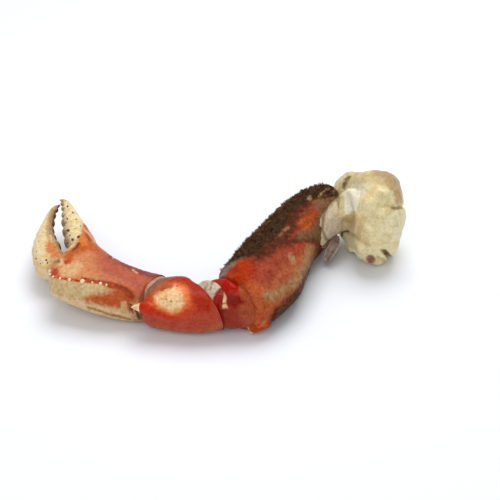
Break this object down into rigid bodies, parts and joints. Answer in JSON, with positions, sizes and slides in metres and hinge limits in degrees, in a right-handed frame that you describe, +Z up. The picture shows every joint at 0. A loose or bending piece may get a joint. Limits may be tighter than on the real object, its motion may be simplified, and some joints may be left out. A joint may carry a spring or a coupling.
{
  "type": "dungeness crab claw",
  "caption": "Cooked crab claw lying on its side: pincer, palm, wrist and arm in red shell with ivory finger tips, torn open at the body end to show a chunk of white meat",
  "frame": {"origin": "centre of the footprint on the table", "axes": "+X runs from the pincer to the chunk of meat, +Y points away from the side that the picture shows, +Z is up"},
  "size_m": [0.2006, 0.1036, 0.0506],
  "materials": {
    "red_shell": "satin",
    "ivory_shell": "satin",
    "arm_shell": "matt, hairy along its upper edge",
    "bare_shell": "satin",
    "joint_tissue": "moist",
    "meat": "moist, flaked"
  },
  "bodies": {
    "root": {"propodus": "red_shell", "dactyl": "ivory_shell", "wrist_membrane": "joint_tissue", "carpus": "red_shell", "elbow_tissue": "joint_tissue", "elbow_knuckle": "red_shell", "arm_shell": "arm_shell", "basal_ring": "bare_shell", "meat": "meat"}
  },
  "joints": []
}
